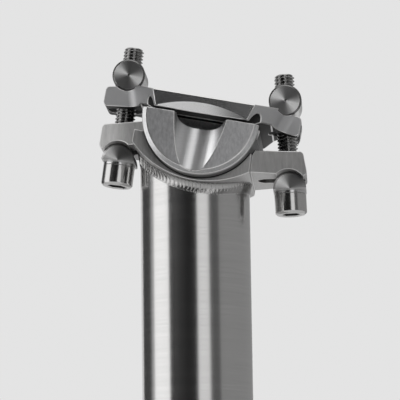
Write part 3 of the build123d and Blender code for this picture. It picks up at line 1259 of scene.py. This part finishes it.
    def _barrel(self, name: str, sweep: float, place: Matrix, play: float) -> Object:
        """Makes a turned barrel, whole or half, with a hole for the bolt.

        Args:
            name: what it is.
            sweep: the angle that it is turned through, in radians.
            place: where its middle lies, with its axis along Y.
            play: how much wider than the thread's crest the hole's radius is, in millimetres.

        Returns:
            The barrel, without a finish.
        """
        segments = round(self.barrel_segments * sweep / FULL_TURN)
        points = turned_points(self._barrel_profile(), segments, sweep)
        mesh = grid_mesh(f"{self.end.value}_{name}_turned", points, wrap=segments == self.barrel_segments)
        mesh.transform(place)
        piece = add_object(mesh.name, mesh)
        self._drill(piece, play)
        shade(piece.data)
        return piece

    def _paint_chamfer_shade(self, nut: Object, rim: Material) -> None:
        """Gives the chamfers of the nut a dark material: painted shade on them.

        Args:
            nut: the barrel nut.
            rim: the painted-shade material, which is one of the nut's materials.
        """
        inner = self.barrel_half - self.chamfer - self.chamfer_round
        steep, flat = self.chamfer_slope
        for face in nut.data.polygons:
            if abs(face.center.y) / MM > inner and steep < abs(face.normal.y) < flat:
                face.material_index = nut.data.materials.find(rim.name)


@dataclass(frozen=True)
class Panel:
    """An upright curved studio panel, bright or dark, that only reflections see, at angles from the camera."""

    name: str
    start_deg: float
    stop_deg: float
    level: float
    low: float = 0.0
    high: float = 2.0
    radius: float = 1.0
    steps: int = 24

    def build(self, camera_turn: float) -> None:
        """Builds the panel, which the camera doesn't see and which casts no shadow.

        Args:
            camera_turn: the camera's angle from straight in front, in degrees.
        """
        turns = np.radians(camera_turn + np.linspace(self.start_deg, self.stop_deg, self.steps))
        arc = [(self.radius * math.sin(t), -self.radius * math.cos(t)) for t in turns]
        points = [(x, y, z) for z in (self.low, self.high) for x, y in arc]
        faces = [(i, i + 1, self.steps + i + 1, self.steps + i) for i in range(self.steps - 1)]
        mesh = bpy.data.meshes.new(self.name)
        mesh.from_pydata(points, [], faces)
        panel = add_object(self.name, mesh)
        material, sheet, _ = new_material(self.name)
        nodes = material.node_tree.nodes
        nodes.remove(nodes["Principled BSDF"])
        glow = sheet.add("ShaderNodeEmission", {"Color": WHITE, "Strength": self.level})[0]
        sheet.feed(nodes["Material Output"].inputs, {"Surface": glow})
        dress(panel, material)
        panel.visible_camera = False
        panel.visible_shadow = False


@dataclass(frozen=True)
class Lamp:
    """A square softbox that points at the clamp, in metres and watts."""

    name: str
    place: tuple[float, float, float]
    size: float
    power: float
    aim_height: float = 0.33

    def build(self) -> None:
        """Builds the lamp, out of the camera's sight."""
        light = bpy.data.lights.new(self.name, "AREA")
        light.shape = "SQUARE"
        light.size = self.size
        light.energy = self.power
        lamp = add_object(self.name, light)
        lamp.location = self.place
        aim = Vector((0, 0, self.aim_height)) - lamp.location
        lamp.rotation_euler = aim.to_track_quat("-Z", "Y").to_euler()
        lamp.visible_camera = False


@dataclass
class Studio:
    """Pale surroundings, softboxes and dark flags round the post, and the camera."""

    backdrop: float = 0.775
    fill: float = 0.35
    floor_glow: float = 0.25
    floor_tone: float = 0.78
    floor_roughness: float = 0.8
    floor_reach: float = 6.0
    panels: tuple[Panel, ...] = (
        Panel("left_rear_flag", -146, -108, 0.07),
        Panel("left_softbox", -99, -57, 1.30),
        Panel("left_edge_flag", -108, -99, 0.5),
        Panel("front_flag", -57, 1, 0.015),
        Panel("front_softbox", 1, 27, 0.95),
        Panel("right_edge_flag", 27, 50, 0.12),
        Panel("right_fill", 50, 165, 0.32),
    )
    lamps: tuple[Lamp, ...] = (
        Lamp("key", (-1.3, -1.5, 1.35), 0.7, 3.5),
        Lamp("top", (0.15, -0.2, 1.9), 1.2, 3.0),
    )
    camera_turn: float = 3.5
    camera_rise: float = -10.0
    camera_roll: float = 0.77
    distance: float = 0.620
    focal: float = 2156.0
    image: float = 400.0
    sensor: float = 36.0
    clip: tuple[float, float] = (0.01, 50.0)
    aim_height: float = 0.3125
    aim_pixel: tuple[float, float] = (196.0, 262.0)

    def build(self) -> None:
        """Builds world, floor, panels, lamps and camera."""
        self._world()
        self._floor()
        for panel in self.panels:
            panel.build(self.camera_turn)
        for lamp in self.lamps:
            lamp.build()
        self._camera()
        bpy.context.scene.view_settings.view_transform = "Standard"

    def _world(self) -> None:
        """Makes the pale surroundings that the camera and reflections see."""
        world = bpy.data.worlds.new("pale_studio")
        bpy.context.scene.world = world
        world.use_nodes = True
        sheet = NodeSheet(world.node_tree)
        level = sheet.plus(sheet.times(sheet.seen(), self.backdrop - self.fill), self.fill)
        sheet.feed(world.node_tree.nodes["Background"].inputs, {"Color": WHITE, "Strength": level})

    def _floor(self) -> None:
        """Makes the plain pale floor under the tube."""
        far = self.floor_reach
        mesh = bpy.data.meshes.new("floor")
        mesh.from_pydata([(-far, -far, 0), (far, -far, 0), (far, far, 0), (-far, far, 0)], [], [(0, 1, 2, 3)])
        floor = add_object("floor", mesh)
        material, sheet, shader = new_material("pale_floor")
        sheet.feed(shader, {
            "Base Color": (self.floor_tone, self.floor_tone, self.floor_tone, 1.0),
            "Roughness": self.floor_roughness,
            "Emission Color": WHITE,
            "Emission Strength": sheet.times(sheet.seen(), self.floor_glow),
        })
        dress(floor, material)

    def _camera(self) -> None:
        """Stands the camera where the photograph was taken from."""
        turn, rise, roll = (math.radians(v) for v in (self.camera_turn, -self.camera_rise, self.camera_roll))
        view = Vector((-math.sin(turn) * math.cos(rise), math.cos(turn) * math.cos(rise), math.sin(rise)))
        level = Vector((math.cos(turn), math.sin(turn), 0))
        upright = level.cross(view)
        right = math.cos(roll) * level - math.sin(roll) * upright
        up = math.sin(roll) * level + math.cos(roll) * upright
        half = self.image / 2
        across, down = ((pixel - half) / self.focal for pixel in self.aim_pixel)
        ray = view + right * across - up * down
        lens = bpy.data.cameras.new("photo_camera")
        lens.sensor_width = self.sensor
        lens.lens = self.focal * self.sensor / self.image
        lens.clip_start, lens.clip_end = self.clip
        camera = add_object("photo_camera", lens)
        place = Matrix((right, up, -view)).transposed().to_4x4()
        place.translation = Vector((0, 0, self.aim_height)) - ray * self.distance
        camera.matrix_world = place
        bpy.context.scene.camera = camera


def main() -> None:
    logging.basicConfig(level=logging.INFO, format="%(name)s: %(message)s")
    shop = FinishShop()
    for copy in (Tube(), Head(), Cradle(), UpperClamp()):
        LOG.info("%s", copy.build(shop).name)
    LOG.info("%s", WeldBead().build(shop, RippleTree()).name)
    thread = ThreadTree()
    for end in End:
        for piece in BoltSet(end).build(shop, thread):
            LOG.info("%s", piece.name)
        dress(frame["nodes"][f"{end.value}_thin_washer"], shop.material(WASHER))
    Studio().build()


if __name__ == "__main__":
    main()
